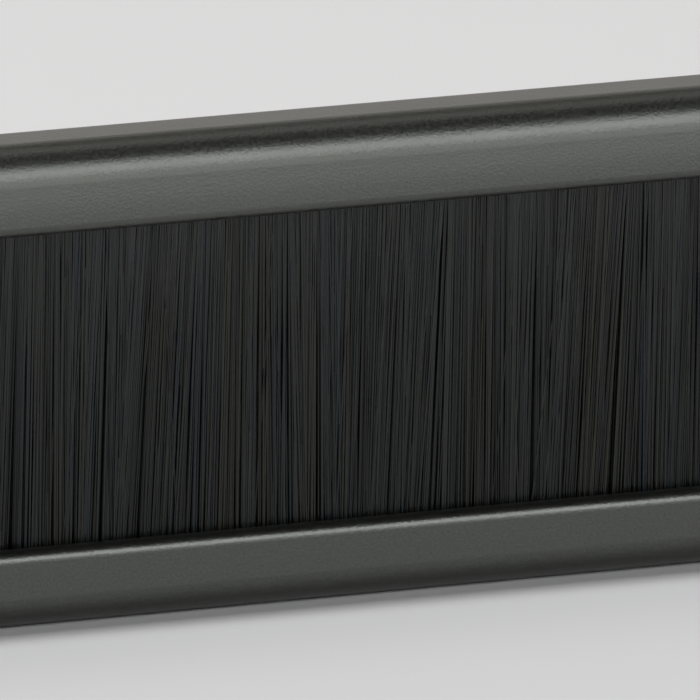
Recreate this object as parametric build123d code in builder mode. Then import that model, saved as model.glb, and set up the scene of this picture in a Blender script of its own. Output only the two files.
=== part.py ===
"""Rack brush panel, one unit high: a folded steel panel with a strip brush behind its cable slot.

Millimetres, +Z up. The panel faces -Y. The origin is at mid width and mid height, on the rear face of the
ears, which is the plane that meets the rack's rails.
"""

import os
from math import atan2, cos, radians, tan

from build123d import *

# Folded sheet
panel_width = 482.6
panel_height = 43.66
sheet_thickness = 1.5
inner_bend_radius = 1.8
ear_width = 19.3
bottom_flange_depth = 8.0
lip_inner_radius = 0.5
ear_corner_radius = 2.0
relief_width = 1.6
relief_overrun = 0.6

# Rack holes in the ears
hole_inset_x = 8.75
hole_inset_z = 5.955
hole_length = 10.5
hole_height = 7.0

# Cable slot between the two rails of the face
slot_end_margin = 12.0
upper_rail_height = 7.8
lower_rail_height = 7.4
slot_corner_radius = 2.5
slot_edge_radius = 1.0

# Crimped channel of the strip brush
strip_overlap = 6.0
channel_width = 5.3
channel_height = 4.76
channel_wall = 0.6
channel_corner_radius = 1.2
channel_mouth_width = 3.9
crimp_height = 1.5
crimp_radius = 1.0
channel_rear_clearance = 0.24
channel_top_clearance = 0.05

# Filaments folded over their wire
wire_diameter = 1.3
wire_clearance = 0.05
root_clearance = 0.05
curtain_clearance = 0.25
curtain_overlap = 3.0
tuft_pitch = 3.6
slit_width = 0.5
slit_share = 0.75
tuft_lean_degrees = 2.4

# Set screws in the return lip
grub_diameter = 3.0
grub_length = 3.0
grub_count = 5
grub_chamfer = 0.35
grub_socket_across_flats = 1.5
grub_socket_depth = 1.4
thread_clearance = 0.03

# Levels and planes that follow from the sizes above
panel_top_z = panel_height / 2
front_y = -sheet_thickness
bend_radius = inner_bend_radius + sheet_thickness
lip_bend_radius = lip_inner_radius + sheet_thickness
slot_top_z = panel_top_z - upper_rail_height
slot_bottom_z = lower_rail_height - panel_top_z
body_length = panel_width - 2 * ear_width
slot_length = body_length - 2 * slot_end_margin
hole_spacing_x = panel_width - 2 * hole_inset_x
hole_spacing_z = panel_height - 2 * hole_inset_z
relief_depth = bend_radius + relief_overrun

# The channel sits against the panel's rear face, just below the curve of the bend
strip_length = slot_length + 2 * strip_overlap
brush_y = channel_width / 2
bend_seat_gap = max(0.0, inner_bend_radius - channel_corner_radius) + channel_top_clearance
channel_top_z = panel_top_z - sheet_thickness - bend_seat_gap
channel_mouth_z = channel_top_z - channel_height
crimp_z = channel_mouth_z + crimp_height
lip_inner_y = channel_width + channel_rear_clearance
lip_y = lip_inner_y + sheet_thickness
grub_z = (channel_top_z + crimp_z) / 2
grub_pitch = strip_length / grub_count

# Half widths of the filament bundle, from its fold over the wire down to the trimmed tips
crimp_angle = atan2((channel_width - channel_mouth_width) / 2, crimp_height)
root_half = channel_width / 2 - channel_wall - root_clearance
mouth_half = channel_mouth_width / 2 - (channel_wall + root_clearance) / cos(crimp_angle)
tip_half = brush_y - curtain_clearance
wire_z = channel_top_z - channel_wall - root_clearance - root_half
tip_z = slot_bottom_z - curtain_overlap

os.makedirs("parts", exist_ok=True)


with BuildPart() as front_panel:
    # Bottom flange, face, top flange and return lip are one bent section
    with BuildSketch(Plane.YZ.offset(-body_length / 2)):
        with BuildLine():
            FilletPolyline(
                (front_y + bottom_flange_depth, -panel_top_z),
                (front_y, -panel_top_z),
                (front_y, panel_top_z),
                (lip_y, panel_top_z),
                (lip_y, channel_mouth_z),
                radius=[bend_radius, bend_radius, lip_bend_radius],
            )
            offset(amount=sheet_thickness, side=Side.RIGHT)
        make_face()
    extrude(amount=body_length)

    # Flat ears, with a relief notch where each bend ends
    with BuildSketch(Plane.XZ) as ears:
        with GridLocations(body_length + ear_width, 0, 2, 1):
            Rectangle(ear_width, panel_height)
        corners = ears.vertices().group_by(Axis.X)
        fillet(corners[0] + corners[-1], ear_corner_radius)
        with GridLocations(body_length + relief_width, panel_height, 2, 2):
            SlotOverall(2 * relief_depth, relief_width, rotation=90, mode=Mode.SUBTRACT)
        with GridLocations(hole_spacing_x, hole_spacing_z, 2, 2):
            SlotOverall(hole_length, hole_height, mode=Mode.SUBTRACT)
    extrude(amount=sheet_thickness)

    # Cable slot, rounded over at the front
    with BuildSketch(Plane.XZ):
        with Locations((0, (slot_top_z + slot_bottom_z) / 2)):
            RectangleRounded(slot_length, slot_top_z - slot_bottom_z, slot_corner_radius)
    extrude(amount=sheet_thickness, mode=Mode.SUBTRACT)
    fillet(front_panel.edges(Select.LAST).group_by(Axis.Y)[0], slot_edge_radius)

    # Tapped holes for the set screws
    with BuildSketch(Plane.XZ.offset(-lip_y)):
        with Locations((0, grub_z)):
            with GridLocations(grub_pitch, 0, grub_count, 1):
                Circle(grub_diameter / 2 + thread_clearance)
    extrude(amount=sheet_thickness, mode=Mode.SUBTRACT)

front_panel.part.label = "front_panel"
export_step(front_panel.part, "parts/front_panel.step")


with BuildPart() as brush_channel:
    # The legs are pinched inwards at the mouth, which grips the filaments
    with BuildSketch(Plane.YZ.offset(-strip_length / 2)):
        with BuildLine():
            FilletPolyline(
                (brush_y - channel_mouth_width / 2, channel_mouth_z),
                (brush_y - channel_width / 2, crimp_z),
                (brush_y - channel_width / 2, channel_top_z),
                (brush_y + channel_width / 2, channel_top_z),
                (brush_y + channel_width / 2, crimp_z),
                (brush_y + channel_mouth_width / 2, channel_mouth_z),
                radius=[crimp_radius, channel_corner_radius, channel_corner_radius, crimp_radius],
            )
            offset(amount=channel_wall, side=Side.RIGHT)
        make_face()
    extrude(amount=strip_length)

brush_channel.part.label = "brush_channel"
export_step(brush_channel.part, "parts/brush_channel.step")


with BuildPart() as retaining_wire:
    with BuildSketch(Plane.YZ.offset(-strip_length / 2)):
        with Locations((brush_y, wire_z)):
            Circle(wire_diameter / 2)
    extrude(amount=strip_length)

retaining_wire.part.label = "retaining_wire"
export_step(retaining_wire.part, "parts/retaining_wire.step")


with BuildPart() as bristles:
    # Fold over the wire, pinched neck and hanging curtain
    with BuildSketch(Plane.YZ.offset(-strip_length / 2)):
        with BuildLine():
            sides = Polyline(
                (brush_y - root_half, wire_z),
                (brush_y - mouth_half, channel_mouth_z),
                (brush_y - tip_half, tip_z),
                (brush_y + tip_half, tip_z),
                (brush_y + mouth_half, channel_mouth_z),
                (brush_y + root_half, wire_z),
            )
            ThreePointArc(sides @ 1, (brush_y, wire_z + root_half), sides @ 0)
        make_face()
        with Locations((brush_y, wire_z)):
            Circle(wire_diameter / 2 + wire_clearance, mode=Mode.SUBTRACT)
    extrude(amount=strip_length)

    # Slits part the curtain into leaning tufts, from the tips upwards
    slit_height = slit_share * (channel_mouth_z - tip_z)
    with BuildSketch(Plane.XZ):
        with GridLocations(tuft_pitch, 0, round(strip_length / tuft_pitch) - 1, 1):
            Polygon(
                (-slit_width / 2, tip_z),
                (slit_width / 2, tip_z),
                (slit_height * tan(radians(tuft_lean_degrees)), tip_z + slit_height),
                align=None,
            )
    extrude(amount=-(brush_y + channel_width), mode=Mode.SUBTRACT)

bristles.part.label = "bristles"
export_step(bristles.part, "parts/bristles.step")


with BuildPart() as grub_screws:
    # Each screw runs from the channel's rear wall out through the lip
    with BuildSketch(Plane.XZ.offset(-channel_width)):
        with Locations((0, grub_z)):
            with GridLocations(grub_pitch, 0, grub_count, 1):
                Circle(grub_diameter / 2)
    extrude(amount=-grub_length)
    chamfer(grub_screws.edges().filter_by(GeomType.CIRCLE), grub_chamfer)
    with BuildSketch(Plane.XZ.offset(-(channel_width + grub_length))):
        with Locations((0, grub_z)):
            with GridLocations(grub_pitch, 0, grub_count, 1):
                RegularPolygon(grub_socket_across_flats / 2, 6, major_radius=False)
    extrude(amount=grub_socket_depth, mode=Mode.SUBTRACT)

grub_screws.part.label = "grub_screws"
export_step(grub_screws.part, "parts/grub_screws.step")
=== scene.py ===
"""Looks of a rack brush panel: its powder coat, its folded filaments, its strip metal and a small studio."""

from math import cos, pi, radians, sin, sqrt, tan

import bpy
import numpy as np
from bpy.props import FloatProperty, FloatVectorProperty, IntProperty, PointerProperty
from bpy.types import Operator, Panel, PropertyGroup
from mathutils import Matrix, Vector


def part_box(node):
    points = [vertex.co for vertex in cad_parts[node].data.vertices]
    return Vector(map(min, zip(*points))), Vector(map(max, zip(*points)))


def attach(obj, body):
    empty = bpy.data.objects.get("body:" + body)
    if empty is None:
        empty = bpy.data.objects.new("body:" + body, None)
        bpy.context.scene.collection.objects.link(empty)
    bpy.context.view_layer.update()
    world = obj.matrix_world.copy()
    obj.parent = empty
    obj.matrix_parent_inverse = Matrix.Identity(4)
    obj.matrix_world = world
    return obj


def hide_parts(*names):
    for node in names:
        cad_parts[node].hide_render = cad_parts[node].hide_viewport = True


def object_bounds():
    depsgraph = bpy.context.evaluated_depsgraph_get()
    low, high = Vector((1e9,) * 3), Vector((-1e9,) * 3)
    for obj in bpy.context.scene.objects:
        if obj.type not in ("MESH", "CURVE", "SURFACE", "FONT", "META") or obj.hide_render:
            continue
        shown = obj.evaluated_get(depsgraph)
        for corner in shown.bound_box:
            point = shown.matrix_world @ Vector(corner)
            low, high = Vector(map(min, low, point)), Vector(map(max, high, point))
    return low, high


bl_info = {
    "name": "Rack brush panel",
    "version": (1, 0, 0),
    "blender": (4, 5, 0),
    "location": "View3D > Sidebar > Brush panel",
    "description": "Dresses the folded panel, its strip brush and set screws, and sets a studio round them",
    "category": "Object",
}

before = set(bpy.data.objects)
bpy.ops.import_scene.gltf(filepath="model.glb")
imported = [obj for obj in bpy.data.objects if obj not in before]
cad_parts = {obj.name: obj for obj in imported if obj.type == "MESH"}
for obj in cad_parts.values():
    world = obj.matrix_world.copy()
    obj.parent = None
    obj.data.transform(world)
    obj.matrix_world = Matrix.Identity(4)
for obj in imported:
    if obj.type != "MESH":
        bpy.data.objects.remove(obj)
CAD_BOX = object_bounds()

BODY = "root"
MM = 0.001

# Places in the CAD frame
BRISTLE_LOW, BRISTLE_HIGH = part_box("bristles")
WIRE_LOW, WIRE_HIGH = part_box("retaining_wire")
WIRE_Y = (WIRE_LOW.y + WIRE_HIGH.y) / 2
WIRE_Z = (WIRE_LOW.z + WIRE_HIGH.z) / 2
MOUTH_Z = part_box("brush_channel")[0].z

# Mean roughness of the finishes that have no setting for it
ZINC_ROUGHNESS = 0.42
WIRE_ROUGHNESS = 0.38
OXIDE_ROUGHNESS = 0.39
FLOOR_ROUGHNESS = 0.62

# Change of roughness as a pattern goes from 0 to 1
COAT_GRAIN_SWING = 0.10
COAT_CLOUD_SWING = 0.06
FILAMENT_TONE_SWING = 0.12
FILAMENT_STREAK_SWING = 0.08
ZINC_CRYSTAL_SWING = 0.16
ZINC_BLOOM_SWING = 0.10
WIRE_LINE_SWING = 0.20
OXIDE_RUBBED_SWING = -0.14
OXIDE_GRAIN_SWING = 0.12
FLOOR_CLOUD_SWING = 0.10

# Widths of the patterns that have no setting, in metres
ZINC_BLOOM_WIDTH = 0.4 * MM
WIRE_LINE_WIDTH = 0.12 * MM
OXIDE_RUBBED_WIDTH = 0.9 * MM
OXIDE_GRAIN_WIDTH = 0.15 * MM
FLOOR_CLOUD_WIDTH = 0.12

# Heights of the fine relief on the metals, in metres
ZINC_RELIEF = 0.008 * MM
WIRE_RELIEF = 0.006 * MM
OXIDE_RELIEF = 0.005 * MM

# Shares of two patterns in the coat's relief and in the zinc's grey
COAT_GRAIN_SHARE = 0.9
COAT_PEEL_SHARE = 0.1
ZINC_CRYSTAL_SHARE = 0.7
ZINC_BLOOM_SHARE = 0.3

# Scales that draw a pattern out, down the filaments and along the wire
FILAMENT_STRETCH = (1.0, 1.0, 0.08)
WIRE_STRETCH = (0.02, 1.0, 1.0)

# Times that the filaments go from cool to warm while their tone goes from dark to pale
WARMTH_TURNS = 7

# Ramps, each stop a position and a grey level
# Ramp of the coat's colour on its grain: painted shade in the grain's hollows, painted light on its high
# spots
COAT_PAINTED_SHADING = ((0.35, 0.0), (0.68, 1.0))
CROWN_FADE = ((0.19, 1.0), (0.22, 0.0))
OXIDE_RUBBING = ((0.52, 0.0), (0.75, 1.0))
TALL_WALL = ((0.40, 0.65), (0.60, 0.08), (0.82, 0.08), (0.92, 1.0))
LOW_WALL = ((0.10, 1.0), (0.20, 0.0))
WALL_BORDER = ((0.08, 0.0), (0.20, 1.0))

# Narrowest and widest clump, as shares of the mean width
CLUMP_RANGE = (0.4, 1.6)

# Thinnest filament, as a share of the thickest
THINNEST = 0.9

# A tube has four walls, so that its cut ends have four corners as the walls do
CORNERS = 4

# Pull of a wall's other corner on the normal at a side corner
NORMAL_PULL = tan(radians(30))

# A tube's cell in the map: its margin, the height of a cut end and the end's left and right edges
MAP_MARGIN = 0.08
MAP_END = 0.05
MAP_END_EDGES = (0.3, 0.7)

# Azimuth and elevation of each lamp in degrees, then its distance, width and height in metres
LAMPS = {
    "key_softbox": (20, 29.5, 2.5, 1.1, 1.25),
    "ceiling_strip": (-94, 60, 3.75, 0.275, 2.25),
    "front_strip": (0, 6.5, 0.15, 1.2, 0.05),
}

# Level of the floor's darker clouds, as a share of its colour
FLOOR_CLOUD_LEVEL = 0.97

# The camera's sensor width in millimetres, and the nearest and farthest that it sees in metres
SENSOR_WIDTH = 36.0
NEAREST = 0.05
FARTHEST = 60.0


class Signal:
    """An output socket of a node. Operators on it add Math nodes, and Signal.node adds any other node."""

    def __init__(self, socket):
        self.socket = socket

    @classmethod
    def node(cls, tree, kind, settings=None, inputs=None, output=0):
        """Adds a node of this type, applies its settings, fills or links its inputs and gives one output."""
        made = tree.nodes.new(kind)
        for name, value in (settings or {}).items():
            if name == "stops":
                cls.place_stops(made.color_ramp, value)
            else:
                setattr(made, name, value)
        for key, value in (inputs or {}).items():
            if isinstance(value, Signal):
                tree.links.new(value.socket, made.inputs[key])
            else:
                made.inputs[key].default_value = value
        return cls(made.outputs[output]) if made.outputs else None

    @staticmethod
    def place_stops(ramp, stops):
        """Gives a ramp these stops, each a position and a grey level."""
        while len(ramp.elements) < len(stops):
            ramp.elements.new(1.0)
        for element, (position, level) in zip(ramp.elements, stops):
            element.position = position
            element.color = (level, level, level, 1.0)

    def math(self, operation, *values):
        """A Math node of this operation on these values."""
        settings = {"operation": operation}
        return Signal.node(self.socket.id_data, "ShaderNodeMath", settings, dict(enumerate(values)))

    def __add__(self, other):
        return self.math("ADD", self, other)

    def __sub__(self, other):
        return self.math("SUBTRACT", self, other)

    def __rsub__(self, other):
        return self.math("SUBTRACT", other, self)

    def __mul__(self, other):
        return self.math("MULTIPLY", self, other)

    __radd__ = __add__
    __rmul__ = __mul__


def blend_colours(tree, share, first, second):
    """A colour that goes from first to second as share goes from 0 to 1. Each is three levels or a Signal."""
    ends = [end if isinstance(end, Signal) else (*end, 1.0) for end in (first, second)]
    inputs = {0: share, 6: ends[0], 7: ends[1]}
    return Signal.node(tree, "ShaderNodeMix", {"data_type": "RGBA"}, inputs, output=2)


def noise(tree, place, grain, detail=2.0, roughness=0.5):
    """Noise from 0 to 1 whose grains are about this wide, in metres."""
    inputs = {"Vector": place, "Scale": 1 / grain, "Detail": detail, "Roughness": roughness}
    return Signal.node(tree, "ShaderNodeTexNoise", inputs=inputs)


def stretched(tree, place, scale):
    """A coordinate multiplied along each axis. A pattern on it is drawn out where the scale is small."""
    return Signal.node(tree, "ShaderNodeMapping", inputs={"Vector": place, "Scale": scale})


def ramp(tree, value, stops):
    """A grey level that follows the value through these stops."""
    return Signal.node(tree, "ShaderNodeValToRGB", {"stops": stops}, {"Fac": value})


def varied(mean, *patterns):
    """A mean plus, for each swing and its pattern, the swing times how far the pattern is from its middle."""
    for swing, pattern in patterns:
        mean = mean + swing * (pattern - 0.5)
    return mean


def bump(tree, height, depth):
    """A normal for a surface that a height of 1 raises by depth, in metres."""
    return Signal.node(tree, "ShaderNodeBump", inputs={"Height": height, "Distance": depth})


def new_material(name):
    """An empty node material with its tree and its Object coordinate."""
    material = bpy.data.materials.new(name)
    material.use_nodes = True
    tree = material.node_tree
    tree.nodes.clear()
    return material, tree, Signal.node(tree, "ShaderNodeTexCoord", output="Object")


def close_material(tree, **sockets):
    """Ends a material in one Principled shader, whose sockets are named with underscores."""
    inputs = {name.replace("_", " "): value for name, value in sockets.items()}
    shader = Signal.node(tree, "ShaderNodeBsdfPrincipled", inputs=inputs)
    Signal.node(tree, "ShaderNodeOutputMaterial", inputs={"Surface": shader})


def rail_crown(tree, place, finish):
    """How far the bending has drawn the upper rail round, from 0 to 1.

    It is e to the power of minus the square of the height above the crown's ridge over its width, and it
    fades out along the panel before the flat ears.
    """
    height = Signal.node(tree, "ShaderNodeSeparateXYZ", inputs={0: place}, output="Z")
    along = Signal.node(tree, "ShaderNodeSeparateXYZ", inputs={0: place}, output="X")
    share = (height - finish.crown_height) * (1 / finish.crown_width)
    ridge = share.math("EXPONENT", 0 - share * share)
    return ridge * ramp(tree, along.math("ABSOLUTE", along), CROWN_FADE)


def powder_coat(finish):
    """Satin black powder coat: fine grain on a faint orange peel. Its colour follows the grain's relief, with
    painted shade in the hollows and painted light on the high spots.
    """
    material, tree, place = new_material("powder_coat_finish")
    grain = noise(tree, place, finish.coat_grain, detail=2.0, roughness=0.6)
    peel = noise(tree, place, finish.coat_peel, detail=1.0)
    cloud = noise(tree, place, finish.coat_cloud, detail=2.0)
    # Painted shade in the grain's hollows and painted light on its high spots: the colour follows the same
    # grain as the relief
    painted_grain_shading = ramp(tree, grain, COAT_PAINTED_SHADING)
    crown = finish.crown_rise / finish.coat_relief * rail_crown(tree, place, finish)
    relief = COAT_GRAIN_SHARE * grain + COAT_PEEL_SHARE * peel + crown
    close_material(
        tree,
        Base_Color=blend_colours(tree, painted_grain_shading, finish.coat_in_painted_shade, finish.coat_in_painted_light),
        Roughness=varied(finish.coat_roughness, (COAT_GRAIN_SWING, grain), (COAT_CLOUD_SWING, cloud)),
        Specular_IOR_Level=finish.coat_gloss,
        Specular_Tint=(*finish.coat_sheen, 1.0),
        Normal=bump(tree, relief, finish.coat_relief),
    )
    return material


def filament_plastic(finish):
    """Black drawn filament. Each one has its own tone, cool or warm, and fine streaks run along it."""
    material, tree, place = new_material("filament_plastic")
    tone = Signal.node(tree, "ShaderNodeAttribute", {"attribute_name": "tone"}, output="Fac")
    turns = WARMTH_TURNS * tone
    warmth = turns.math("FRACT", turns)
    streaks = noise(tree, stretched(tree, place, FILAMENT_STRETCH), finish.filament_streak)
    cool = blend_colours(tree, tone, finish.filament_dark, finish.filament_cool)
    warm = blend_colours(tree, tone, finish.filament_dark, finish.filament_warm)
    swings = (FILAMENT_TONE_SWING, tone), (FILAMENT_STREAK_SWING, streaks)
    close_material(
        tree,
        Base_Color=blend_colours(tree, warmth, cool, warm),
        Roughness=varied(finish.filament_roughness, *swings),
        Specular_IOR_Level=finish.filament_gloss,
    )
    return material


def galvanised_steel(finish):
    """Zinc coat in flat crystals, each with its own grey and its own gloss, dulled by a fine bloom."""
    material, tree, place = new_material("galvanised_strip")
    settings = {"feature": "F1", "distance": "EUCLIDEAN"}
    inputs = {"Vector": place, "Scale": 1 / finish.spangle_width}
    colour = Signal.node(tree, "ShaderNodeTexVoronoi", settings, inputs, output="Color")
    crystal = Signal.node(tree, "ShaderNodeSeparateColor", inputs={0: colour}, output=0)
    bloom = noise(tree, place, ZINC_BLOOM_WIDTH, detail=3.0, roughness=0.6)
    grey = ZINC_CRYSTAL_SHARE * crystal + ZINC_BLOOM_SHARE * bloom
    close_material(
        tree,
        Base_Color=blend_colours(tree, grey, finish.zinc_dark, finish.zinc_light),
        Metallic=1.0,
        Roughness=varied(ZINC_ROUGHNESS, (ZINC_CRYSTAL_SWING, crystal), (ZINC_BLOOM_SWING, bloom)),
        Normal=bump(tree, bloom, ZINC_RELIEF),
    )
    return material


def drawn_wire(finish):
    """Bright drawn wire with die lines along its length."""
    material, tree, place = new_material("drawn_wire")
    lines = noise(tree, stretched(tree, place, WIRE_STRETCH), WIRE_LINE_WIDTH, detail=3.0)
    close_material(
        tree,
        Base_Color=blend_colours(tree, lines, finish.zinc_dark, finish.zinc_light),
        Metallic=1.0,
        Roughness=varied(WIRE_ROUGHNESS, (WIRE_LINE_SWING, lines)),
        Normal=bump(tree, lines, WIRE_RELIEF),
    )
    return material


def black_oxide(finish):
    """Blackened steel of the set screws, with paler rubbed spots."""
    material, tree, place = new_material("black_oxide")
    rubbed = ramp(tree, noise(tree, place, OXIDE_RUBBED_WIDTH, detail=4.0), OXIDE_RUBBING)
    grain = noise(tree, place, OXIDE_GRAIN_WIDTH, detail=2.0)
    close_material(
        tree,
        Base_Color=blend_colours(tree, rubbed, finish.oxide_dark, finish.oxide_worn),
        Metallic=1.0,
        Roughness=varied(OXIDE_ROUGHNESS, (OXIDE_RUBBED_SWING, rubbed), (OXIDE_GRAIN_SWING, grain)),
        Normal=bump(tree, grain, OXIDE_RELIEF),
    )
    return material


def dress(node, material):
    """Puts one material on every slot of a node's object."""
    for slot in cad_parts[node].material_slots:
        slot.material = material


def unit(vectors):
    """Vectors along the last axis, at length 1."""
    return vectors / np.linalg.norm(vectors, axis=-1, keepdims=True)


def clump_of(rng, places, width):
    """The clump that each place along a section falls in.

    Clump borders are the running sum of random widths. There are twice as many as the mean width calls for,
    so that they reach past the last place.
    """
    span = places.max() - places.min()
    widths = rng.uniform(*CLUMP_RANGE, int(2 * span / width) + 2) * width
    borders = places.min() + np.cumsum(widths)
    return np.searchsorted(borders, places)


def lean_drift(rng, places, width, spread):
    """A lean that drifts along a section: straight lines between random leans at stations this far apart."""
    stations = np.arange(places.min(), places.max() + width, width)
    return np.interp(places, stations, rng.normal(0, spread, stations.shape))


def leg_sway(rng, roots, depth, length, brush):
    """How far each leg's tip stands beside its root, along the strip.

    The sway is the leg's length times the tangent of its lean. The lean is the brush's own plus, times the
    leg's freedom, the sum of the drift along the section, its clump's lean, its own and, for a few strays, a
    larger one. Part of the way to the clump's mean root is added, so that clumps close up and leave thin gaps
    between them. Freedom rises with the square of the depth, from little in the middle of the bundle, where
    neighbours hold a leg, to 1 at the bundle's full depth.
    """
    clump = clump_of(rng, roots, brush.clump_width)
    count = clump.max() + 1
    members = np.bincount(clump, minlength=count)
    middle = np.bincount(clump, roots, count) / np.maximum(members, 1)
    strays = rng.random(roots.shape) < brush.stray_share
    own = rng.normal(0, brush.own_lean, roots.shape)
    own += strays * rng.normal(0, brush.stray_lean, roots.shape)
    freedom = brush.core_freedom + (1 - brush.core_freedom) * depth**2
    drift = lean_drift(rng, roots, brush.drift_width, brush.drift_lean)
    lean = freedom * (rng.normal(0, brush.clump_lean, count)[clump] + own + drift) - brush.lean
    gather = rng.uniform(0, brush.gather, count)[clump]
    return length * np.tan(lean) + freedom * gather * (middle[clump] - roots)


def leg_lines(rng, roots, depth, side, brush):
    """Centre lines of the legs on one side of the wire, from the mouth of the channel down to the tips.

    Along a leg, s runs from 0 at the mouth to 1 at the tip. Its place along the strip is the root plus s
    times the sway. Its depth goes evenly from its depth in the neck to its depth at the tip, and its height
    from the mouth to the trimmed end. At the tips the depth is raised to a power below 1, so that the outer
    layers stay close together and the middle is loose.
    """
    radius = brush.filament_diameter / 2
    trim = np.abs(rng.normal(0, brush.tip_unevenness, roots.shape))
    length = MOUTH_Z - BRISTLE_LOW.z - trim
    sway = leg_sway(rng, roots, depth, length, brush)
    neck_y = depth * (brush.neck_depth / 2 - radius)
    mixed = np.clip(depth + rng.normal(0, brush.tip_mixing, roots.shape), 0, 1)
    tip_y = mixed**brush.tip_crowding * (brush.tip_depth / 2 - radius)

    s = np.linspace(0, 1, brush.leg_points)
    x = roots[:, None] + sway[:, None] * s
    x = np.clip(x, BRISTLE_LOW.x + radius, BRISTLE_HIGH.x - radius)
    y = WIRE_Y + side * (neck_y[:, None] * (1 - s) + tip_y[:, None] * s)
    z = MOUTH_Z - length[:, None] * s
    return np.stack([x, y, z], axis=-1)


def fold_lines(roots, depth, brush):
    """Centre lines of the folds over the wire: half circles about its axis, from the front to the back.

    The circle's radius grows with depth from just off the wire to just inside the channel.
    """
    radius = brush.filament_diameter / 2
    inner = (WIRE_HIGH.z - WIRE_LOW.z) / 2 + radius
    outer = BRISTLE_HIGH.z - WIRE_Z - radius
    bend = (inner + depth * (outer - inner))[:, None]
    turn = np.linspace(0, pi, brush.fold_points)
    x = np.broadcast_to(roots[:, None], (len(roots), brush.fold_points))
    return np.stack([x, WIRE_Y - bend * np.cos(turn), WIRE_Z + bend * np.sin(turn)], axis=-1)


def filament_lines(rng, count, low_x, high_x, brush):
    """Centre lines of one section's filaments, each from its front tip, over the wire, to its back tip.

    The filaments are packed in layers round the wire. The roots step evenly along the section, each in the
    next layer in turn, so that in a layer they lie side by side. A root's jitter is a share of the gap to its
    next in the layer. Its depth is its layer's number plus a random share of the step to the next layer, over
    the most that this can be, times the depth that the outer layer reaches.
    """
    step = (high_x - low_x) / count
    number = np.arange(count)
    jitter = brush.root_jitter * brush.layers * rng.uniform(-0.5, 0.5, count)
    roots = np.clip(low_x + step * (number + 0.5 + jitter), low_x, high_x)
    layer = number % brush.layers + brush.layer_jitter * rng.random(count)
    depth = brush.outer_depth * layer / (brush.layers - 1 + brush.layer_jitter)
    front = leg_lines(rng, roots, depth, -1, brush)
    back = leg_lines(rng, roots, depth, 1, brush)
    return np.concatenate([front[:, ::-1], fold_lines(roots, depth, brush), back], axis=1)


def line_directions(lines, leg_points):
    """Directions of the lines at their points, each at length 1.

    On a fold it is that of the step from the point before to the point after. On a leg it is that of the step
    on the tip's side, so that the bend at the mouth of the channel doesn't show further down.
    """
    along = np.gradient(lines, axis=1)
    steps = np.diff(lines, axis=1)
    along[:, 1:leg_points] = steps[:, : leg_points - 1]
    along[:, -leg_points:-1] = steps[:, 1 - leg_points :]
    return unit(along)


def tube_rings(along):
    """Outward directions of the rings round lines with these directions: the cosine and sine of even angles.

    The two directions of a ring are the strip's own direction made square to the line, and the one square to
    both.
    """
    across = np.array([1.0, 0.0, 0.0])
    first = unit(across - along * (along @ across)[..., None])
    second = np.cross(along, first)
    angle = 2 * pi * np.arange(CORNERS) / CORNERS
    return np.cos(angle)[:, None] * first[:, :, None] + np.sin(angle)[:, None] * second[:, :, None]


def wall_corners(first, second):
    """Values at the four corners of each wall, from those at its first and second corner of every ring."""
    return np.stack([first[:, :-1], second[:, :-1], second[:, 1:], first[:, 1:]], axis=3)


def tube_faces(count, points):
    """Corner numbers of the tubes: a quad for each step along and round a line, then the two cut ends."""
    number = np.arange(count * points * CORNERS).reshape(count, points, CORNERS)
    walls = wall_corners(number, np.roll(number, -1, axis=2))
    ends = np.stack([number[:, 0, ::-1], number[:, -1]], axis=1)
    return np.concatenate([walls.reshape(-1, CORNERS), ends.reshape(-1, CORNERS)])


def tube_normals(rings, along):
    """Normals at the faces' corners, so that a tube of four walls is shaded as a round one.

    On a wall the normal goes from straight ahead, at the corner that faces the front or the back, to 60
    degrees off it at the side corner, where it is the side's direction plus the pull, tan 30 degrees, times
    the other corner's. That is how a round filament's normal turns across its width. A cut end faces along
    its line.
    """
    beside = np.roll(rings, -1, axis=2)
    pull = np.array([NORMAL_PULL, 0.0, NORMAL_PULL, 0.0])[:, None]
    walls = wall_corners(unit(rings + pull * beside), unit(beside + np.roll(pull, -1, axis=0) * rings))
    ends = np.stack([-along[:, 0], along[:, -1]], axis=1)
    ends = np.broadcast_to(ends[:, :, None], (len(rings), 2, CORNERS, 3))
    return np.concatenate([walls.reshape(-1, 3), ends.reshape(-1, 3)])


def tube_map(count, points):
    """A flat map of the tubes. Each tube has its own cell of a square grid.

    In a cell the walls are unrolled side by side, with the length upwards, and the ends lie above and below
    them.
    """
    columns = int(np.ceil(sqrt(count)))
    cell = np.stack([np.arange(count) % columns, np.arange(count) // columns], axis=-1)
    u = np.linspace(MAP_MARGIN, 1 - MAP_MARGIN, CORNERS + 1)
    v = np.linspace(MAP_MARGIN + MAP_END, 1 - MAP_MARGIN - MAP_END, points)
    grid = np.stack(np.meshgrid(u, v), axis=-1)[None]
    walls = wall_corners(grid[:, :, :-1], grid[:, :, 1:])
    left, right = MAP_END_EDGES
    low = np.array([[left, 0.0], [right, 0.0], [right, MAP_END], [left, MAP_END]]) + (0, MAP_MARGIN / 2)
    ends = np.stack([low, low + (0, 1 - MAP_MARGIN - MAP_END)])
    walls = (cell[:, None, None, None] + walls) / columns
    ends = (cell[:, None, None] + ends) / columns
    return np.concatenate([walls.reshape(-1, 2), ends.reshape(-1, 2)])


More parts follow.
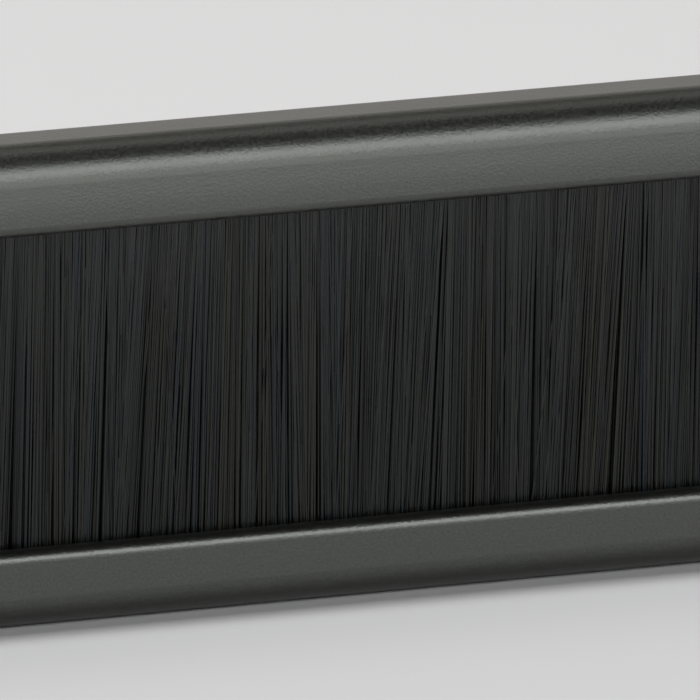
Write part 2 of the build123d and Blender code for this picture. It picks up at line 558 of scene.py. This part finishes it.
def tube_mesh(name, lines, along, radius, tone):
    """A mesh of closed tubes along the lines, with each tube's tone as an attribute and a map for baking.

    A ring's corners lie at the line's point plus the radius times the ring's directions.
    """
    count, points = lines.shape[:2]
    rings = tube_rings(along)
    places = (lines[:, :, None] + radius[:, None, None, None] * rings).reshape(-1, 3)
    faces = tube_faces(count, points)
    mesh = bpy.data.meshes.new(name)
    mesh.vertices.add(len(places))
    mesh.vertices.foreach_set("co", places.astype(np.float32).ravel())
    mesh.loops.add(faces.size)
    mesh.loops.foreach_set("vertex_index", faces.astype(np.int32).ravel())
    mesh.polygons.add(len(faces))
    mesh.polygons.foreach_set("loop_start", np.arange(0, faces.size, CORNERS, dtype=np.int32))
    mesh.update(calc_edges=True)
    mesh.polygons.foreach_set("use_smooth", np.ones(len(faces), dtype=bool))
    tones = mesh.attributes.new("tone", "FLOAT", "POINT")
    tones.data.foreach_set("value", np.repeat(tone, points * CORNERS).astype(np.float32))
    layer = mesh.uv_layers.new(name="OFBake")
    layer.uv.foreach_set("vector", tube_map(count, points).astype(np.float32).ravel())
    mesh.validate()
    mesh.normals_split_custom_set(tube_normals(rings, along))
    return mesh


def add_piece(name, mesh, material):
    """A new piece in the scene that rides on the panel."""
    piece = bpy.data.objects.new(name, mesh)
    bpy.context.scene.collection.objects.link(piece)
    mesh.materials.append(material)
    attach(piece, BODY)
    return piece


class BrushSizes(PropertyGroup):
    """Sizes of the strip brush's filaments."""

    filament_diameter: FloatProperty(
        name="Filament", description="Diameter of one filament", default=0.19 * MM, unit="LENGTH", precision=5
    )
    loops_per_metre: FloatProperty(
        name="Density", description="Folded filaments along a metre of strip", default=29000.0
    )
    sections: IntProperty(name="Sections", description="Lengths that the brush is made in", default=8)
    layers: IntProperty(name="Layers", description="Layers of filaments on each side of the wire", default=2)
    root_jitter: FloatProperty(
        name="Root jitter", description="Unevenness of the roots in a layer", default=0.24, subtype="FACTOR"
    )
    layer_jitter: FloatProperty(
        name="Layer jitter", description="Unevenness of the layers' depth", default=0.35, subtype="FACTOR"
    )
    outer_depth: FloatProperty(
        name="Outer depth",
        description="Share of the bundle's half depth that the outer layer reaches",
        default=0.72973,
        subtype="FACTOR",
    )
    leg_points: IntProperty(name="Leg points", description="Points along each leg of a filament", default=2)
    fold_points: IntProperty(name="Fold points", description="Points along each fold", default=4)
    neck_depth: FloatProperty(
        name="Neck depth",
        description="Front to back depth of the bundle where the channel grips it",
        default=2.4 * MM,
        unit="LENGTH",
        precision=5,
    )
    tip_depth: FloatProperty(
        name="Tip depth",
        description="Front to back depth of the bundle at the trimmed tips",
        default=4.8 * MM,
        unit="LENGTH",
        precision=5,
    )
    lean: FloatProperty(
        name="Lean", description="Lean of the whole brush to the left", default=radians(2.4), subtype="ANGLE"
    )
    clump_width: FloatProperty(
        name="Clump width",
        description="Mean width of the clumps that hang together",
        default=1.3 * MM,
        unit="LENGTH",
        precision=5,
    )
    clump_lean: FloatProperty(
        name="Clump lean", description="Spread of the clumps' own lean", default=radians(1.6), subtype="ANGLE"
    )
    drift_width: FloatProperty(
        name="Drift width",
        description="Length over which the lean drifts along the strip",
        default=2.4 * MM,
        unit="LENGTH",
        precision=5,
    )
    drift_lean: FloatProperty(
        name="Drift", description="Spread of the drifting lean", default=radians(1.9), subtype="ANGLE"
    )
    own_lean: FloatProperty(
        name="Own lean", description="Spread of the filaments' lean", default=radians(0.8), subtype="ANGLE"
    )
    stray_share: FloatProperty(
        name="Strays", description="Share of filaments that stand across", default=0.11, subtype="FACTOR"
    )
    stray_lean: FloatProperty(
        name="Stray lean", description="Spread of the strays' lean", default=radians(3.5), subtype="ANGLE"
    )
    gather: FloatProperty(
        name="Gather", description="Most that a clump closes up at its tips", default=0.09, subtype="FACTOR"
    )
    core_freedom: FloatProperty(
        name="Core freedom",
        description="Freedom of the legs inside the bundle",
        default=0.05,
        subtype="FACTOR",
    )
    tip_mixing: FloatProperty(
        name="Mixing",
        description="Share of the depth by which tips leave their layer",
        default=0.05,
        subtype="FACTOR",
    )
    tip_crowding: FloatProperty(
        name="Crowding", description="Power that keeps the outer layers close at the tips", default=0.6
    )
    tip_unevenness: FloatProperty(
        name="Uneven tips",
        description="Spread of the trimmed tips' heights",
        default=0.12 * MM,
        unit="LENGTH",
        precision=5,
    )
    seed: IntProperty(name="Seed", description="Number that the brush's disorder grows from", default=19)


class Finishes(PropertyGroup):
    """Colours and grain sizes of the panel's finishes."""

    # Coat colour with painted shade, used in the grain's hollows
    coat_in_painted_shade: FloatVectorProperty(
        name="Coat",
        description="Powder coat in its hollows",
        default=(0.0030, 0.0032, 0.0028),
        subtype="COLOR",
    )
    # Coat colour with painted light, used on the grain's high spots
    coat_in_painted_light: FloatVectorProperty(
        name="Coat grain",
        description="Powder coat on its grains",
        default=(0.0165, 0.0175, 0.0152),
        subtype="COLOR",
    )
    coat_roughness: FloatProperty(
        name="Coat roughness", description="Mean roughness of the powder coat", default=0.35, subtype="FACTOR"
    )
    coat_gloss: FloatProperty(
        name="Coat gloss",
        description="Strength of the powder coat's reflections",
        default=0.95,
        subtype="FACTOR",
    )
    coat_sheen: FloatVectorProperty(
        name="Coat sheen",
        description="Tint of the powder coat's reflections",
        default=(0.96, 1.0, 0.94),
        subtype="COLOR",
    )
    coat_grain: FloatProperty(
        name="Grain", description="Width of the coat's grains", default=0.25 * MM, unit="LENGTH", precision=5
    )
    coat_peel: FloatProperty(
        name="Orange peel",
        description="Width of the coat's waves",
        default=0.9 * MM,
        unit="LENGTH",
        precision=5,
    )
    coat_cloud: FloatProperty(
        name="Clouds",
        description="Width of the coat's uneven patches",
        default=9 * MM,
        unit="LENGTH",
        precision=5,
    )
    coat_relief: FloatProperty(
        name="Relief", description="Height of the coat's grain", default=0.03 * MM, unit="LENGTH", precision=6
    )
    crown_height: FloatProperty(
        name="Crown",
        description="Height of the upper rail's crown",
        default=16.4 * MM,
        unit="LENGTH",
        precision=5,
    )
    crown_width: FloatProperty(
        name="Crown width",
        description="Width of the upper rail's crown",
        default=2.5 * MM,
        unit="LENGTH",
        precision=5,
    )
    crown_rise: FloatProperty(
        name="Crown rise",
        description="Rise of the upper rail's crown",
        default=0.117 * MM,
        unit="LENGTH",
        precision=6,
    )
    filament_dark: FloatVectorProperty(
        name="Filament, dark",
        description="Darkest filaments",
        default=(0.0043, 0.0043, 0.0043),
        subtype="COLOR",
    )
    filament_cool: FloatVectorProperty(
        name="Filament, cool",
        description="Palest cool filaments",
        default=(0.0086, 0.0138, 0.0181),
        subtype="COLOR",
    )
    filament_warm: FloatVectorProperty(
        name="Filament, warm",
        description="Palest warm filaments",
        default=(0.0163, 0.0159, 0.0112),
        subtype="COLOR",
    )
    filament_roughness: FloatProperty(
        name="Filament roughness", description="Mean roughness of filaments", default=0.25, subtype="FACTOR"
    )
    filament_gloss: FloatProperty(
        name="Filament gloss",
        description="Strength of the filaments' reflections",
        default=0.27,
        subtype="FACTOR",
    )
    filament_streak: FloatProperty(
        name="Streaks",
        description="Width of a filament's streaks",
        default=0.06 * MM,
        unit="LENGTH",
        precision=5,
    )
    zinc_dark: FloatVectorProperty(
        name="Zinc, dark", description="Dull zinc crystals", default=(0.40, 0.42, 0.43), subtype="COLOR"
    )
    zinc_light: FloatVectorProperty(
        name="Zinc, light", description="Bright zinc crystals", default=(0.62, 0.64, 0.65), subtype="COLOR"
    )
    spangle_width: FloatProperty(
        name="Spangle", description="Width of the zinc crystals", default=4 * MM, unit="LENGTH", precision=5
    )
    oxide_dark: FloatVectorProperty(
        name="Oxide", description="Blackened steel", default=(0.05, 0.05, 0.054), subtype="COLOR"
    )
    oxide_worn: FloatVectorProperty(
        name="Oxide, worn", description="Rubbed blackened steel", default=(0.16, 0.16, 0.165), subtype="COLOR"
    )


class Studio(PropertyGroup):
    """The camera, the floor, the lamps and the walls."""

    azimuth: FloatProperty(
        name="Azimuth",
        description="Camera's turn to the right of the front",
        default=radians(-18.5),
        subtype="ANGLE",
    )
    elevation: FloatProperty(
        name="Elevation",
        description="Camera's height above the horizon",
        default=radians(15.5),
        subtype="ANGLE",
    )
    distance: FloatProperty(
        name="Distance", description="Camera's distance from its target", default=1.6, unit="LENGTH"
    )
    target_height: FloatProperty(
        name="Target",
        description="Height that the camera looks at",
        default=0.94 * MM,
        unit="LENGTH",
        precision=5,
    )
    view_width: FloatProperty(
        name="View",
        description="Width that the picture takes in",
        default=61.57 * MM,
        unit="LENGTH",
        precision=5,
    )
    floor_size: FloatProperty(name="Floor", description="Side of the floor", default=40.0, unit="LENGTH")
    floor_colour: FloatVectorProperty(
        name="Floor colour", description="Pale floor", default=(0.80, 0.80, 0.81), subtype="COLOR"
    )
    key_power: FloatProperty(name="Key", description="Power of the front softbox", default=26.0, unit="POWER")
    front_power: FloatProperty(
        name="Front", description="Power of the low front strip", default=0.36, unit="POWER"
    )
    ceiling_power: FloatProperty(
        name="Ceiling", description="Power of the ceiling strip", default=90.0, unit="POWER"
    )
    wall_light: FloatProperty(name="Wall", description="Brightness of the wall behind", default=1.35)
    front_light: FloatProperty(name="Low wall", description="Brightness of the wall in front", default=0.5)
    wall_colour: FloatVectorProperty(
        name="Wall colour", description="Warm white of the walls", default=(1.0, 0.97, 0.93), subtype="COLOR"
    )


def direction(azimuth, elevation):
    """A unit vector from the panel: azimuth turns from the front to the right, elevation rises."""
    level = cos(elevation)
    return Vector((sin(azimuth) * level, -cos(azimuth) * level, sin(elevation)))


def look_along(thing, towards):
    """Turns a camera or a lamp to look in a direction."""
    thing.rotation_mode = "QUATERNION"
    thing.rotation_quaternion = towards.to_track_quat("-Z", "Y")


def add_lamp(name, power):
    """A soft rectangular lamp that faces the panel and isn't seen by the camera."""
    azimuth, elevation, distance, width, height = LAMPS[name]
    data = bpy.data.lights.new(name, "AREA")
    data.shape = "RECTANGLE"
    data.size = width
    data.size_y = height
    data.energy = power
    lamp = bpy.data.objects.new(name, data)
    bpy.context.scene.collection.objects.link(lamp)
    back = direction(radians(azimuth), radians(elevation))
    lamp.location = back * distance
    look_along(lamp, -back)
    lamp.visible_camera = False
    return lamp


def keep_off(lamp, thing):
    """Keeps a lamp's light off one object, as a flag does in a studio."""
    unlit = bpy.data.collections.new(f"{lamp.name}_unlit")
    unlit.objects.link(thing)
    unlit.collection_objects[0].light_linking.link_state = "EXCLUDE"
    lamp.light_linking.receiver_collection = unlit


def add_floor(studio):
    """A square pale floor under the panel, at the height of its lowest point."""
    half = studio.floor_size / 2
    corners = np.array([[-1, -1], [1, -1], [1, 1], [-1, 1]]) * half
    heights = np.full((len(corners), 1), CAD_BOX[0].z)
    mesh = bpy.data.meshes.new("floor")
    mesh.from_pydata(np.hstack([corners, heights]).tolist(), [], [(0, 1, 2, 3)])
    material, tree, place = new_material("pale_floor")
    cloud = noise(tree, place, FLOOR_CLOUD_WIDTH, detail=3.0)
    darker = [FLOOR_CLOUD_LEVEL * level for level in studio.floor_colour]
    close_material(
        tree,
        Base_Color=blend_colours(tree, cloud, darker, studio.floor_colour),
        Roughness=varied(FLOOR_ROUGHNESS, (FLOOR_CLOUD_SWING, cloud)),
    )
    mesh.materials.append(material)
    floor = bpy.data.objects.new("floor", mesh)
    bpy.context.scene.collection.objects.link(floor)
    return floor


def add_world(studio):
    """A tall pale wall and part of a ceiling behind, and a low wall in front.

    Each wall's level depends on how far the ray points up, and how far it points to the back fades one wall
    into the other.
    """
    world = bpy.data.worlds.new("studio")
    world.use_nodes = True
    tree = world.node_tree
    tree.nodes.clear()
    ray = Signal.node(tree, "ShaderNodeTexCoord", output="Generated")
    height = Signal.node(tree, "ShaderNodeSeparateXYZ", inputs={0: ray}, output="Z")
    depth = Signal.node(tree, "ShaderNodeSeparateXYZ", inputs={0: ray}, output="Y")
    tall = studio.wall_light * ramp(tree, height, TALL_WALL)
    low = studio.front_light * ramp(tree, height, LOW_WALL)
    behind = ramp(tree, depth, WALL_BORDER)
    inputs = {"Color": (*studio.wall_colour, 1.0), "Strength": behind * tall + (1 - behind) * low}
    shade = Signal.node(tree, "ShaderNodeBackground", inputs=inputs)
    Signal.node(tree, "ShaderNodeOutputWorld", inputs={"Surface": shade})
    bpy.context.scene.world = world


def add_camera(studio):
    """The camera, with a lens that takes in the view's width at the target."""
    data = bpy.data.cameras.new("camera")
    data.sensor_width = SENSOR_WIDTH
    data.lens = data.sensor_width * studio.distance / studio.view_width
    data.clip_start = NEAREST
    data.clip_end = FARTHEST
    camera = bpy.data.objects.new("camera", data)
    bpy.context.scene.collection.objects.link(camera)
    back = direction(studio.azimuth, studio.elevation)
    camera.location = Vector((0.0, 0.0, studio.target_height)) + back * studio.distance
    look_along(camera, -back)
    bpy.context.scene.camera = camera


class BRUSHPANEL_OT_coat_panel(Operator):
    """Gives the folded panel its powder coat"""

    bl_idname = "brushpanel.coat_panel"
    bl_label = "Coat panel"

    def execute(self, context):
        dress("front_panel", powder_coat(context.scene.brush_finishes))
        return {"FINISHED"}


class BRUSHPANEL_OT_make_bristles(Operator):
    """Makes the filaments of the strip brush, section by section, in place of the solid curtain"""

    bl_idname = "brushpanel.make_bristles"
    bl_label = "Make bristles"

    def execute(self, context):
        brush = context.scene.brush_sizes
        plastic = filament_plastic(context.scene.brush_finishes)
        radius = brush.filament_diameter / 2
        borders = np.linspace(BRISTLE_LOW.x + radius, BRISTLE_HIGH.x - radius, brush.sections + 1)
        for number, (low_x, high_x) in enumerate(zip(borders[:-1], borders[1:]), start=1):
            rng = np.random.default_rng([brush.seed, number])
            count = round((high_x - low_x) * brush.loops_per_metre)
            lines = filament_lines(rng, count, low_x, high_x, brush)
            along = line_directions(lines, brush.leg_points)
            radii = radius * rng.uniform(THINNEST, 1.0, count)
            name = f"bristles_section_{number}"
            mesh = tube_mesh(name, lines, along, radii, rng.random(count))
            piece = add_piece(name, mesh, plastic)
            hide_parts("bristles")
        return {"FINISHED"}


class BRUSHPANEL_OT_finish_strip(Operator):
    """Gives the crimped channel its zinc coat and the wire in it its drawn finish"""

    bl_idname = "brushpanel.finish_strip"
    bl_label = "Finish strip"

    def execute(self, context):
        dress("brush_channel", galvanised_steel(context.scene.brush_finishes))
        dress("retaining_wire", drawn_wire(context.scene.brush_finishes))
        return {"FINISHED"}


class BRUSHPANEL_OT_finish_screws(Operator):
    """Blackens the set screws"""

    bl_idname = "brushpanel.finish_screws"
    bl_label = "Finish screws"

    def execute(self, context):
        dress("grub_screws", black_oxide(context.scene.brush_finishes))
        return {"FINISHED"}


class BRUSHPANEL_OT_set_stage(Operator):
    """Sets the floor, the lamps, the walls and the camera"""

    bl_idname = "brushpanel.set_stage"
    bl_label = "Set stage"

    def execute(self, context):
        studio = context.scene.brush_studio
        floor = add_floor(studio)
        add_lamp("key_softbox", studio.key_power)
        add_lamp("ceiling_strip", studio.ceiling_power)
        strip = add_lamp("front_strip", studio.front_power)
        keep_off(strip, floor)
        add_world(studio)
        add_camera(studio)
        context.scene.view_settings.view_transform = "Standard"
        return {"FINISHED"}


class BRUSHPANEL_PT_sidebar(Panel):
    """Lists the panel's operators and their settings"""

    bl_idname = "BRUSHPANEL_PT_sidebar"
    bl_label = "Brush panel"
    bl_space_type = "VIEW_3D"
    bl_region_type = "UI"
    bl_category = "Brush panel"

    def draw(self, context):
        for operator in OPERATORS:
            self.layout.operator(operator.bl_idname)
        for group, kind in SETTINGS.items():
            settings = getattr(context.scene, group)
            for name in kind.__annotations__:
                self.layout.prop(settings, name)


OPERATORS = (
    BRUSHPANEL_OT_coat_panel,
    BRUSHPANEL_OT_make_bristles,
    BRUSHPANEL_OT_finish_strip,
    BRUSHPANEL_OT_finish_screws,
    BRUSHPANEL_OT_set_stage,
)
SETTINGS = {"brush_sizes": BrushSizes, "brush_finishes": Finishes, "brush_studio": Studio}


def register():
    """Registers the settings, the operators and the sidebar."""
    for name, group in SETTINGS.items():
        bpy.utils.register_class(group)
        setattr(bpy.types.Scene, name, PointerProperty(type=group))
    for operator in OPERATORS:
        bpy.utils.register_class(operator)
    bpy.utils.register_class(BRUSHPANEL_PT_sidebar)


def unregister():
    """Takes away the sidebar, the operators and the settings."""
    bpy.utils.unregister_class(BRUSHPANEL_PT_sidebar)
    for operator in reversed(OPERATORS):
        bpy.utils.unregister_class(operator)
    for name, group in SETTINGS.items():
        delattr(bpy.types.Scene, name)
        bpy.utils.unregister_class(group)


def main():
    """Registers the add-on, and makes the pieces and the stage."""
    register()
    bpy.ops.brushpanel.coat_panel()
    bpy.ops.brushpanel.make_bristles()
    bpy.ops.brushpanel.finish_strip()
    bpy.ops.brushpanel.finish_screws()
    bpy.ops.brushpanel.set_stage()


if __name__ == "__main__":
    main()
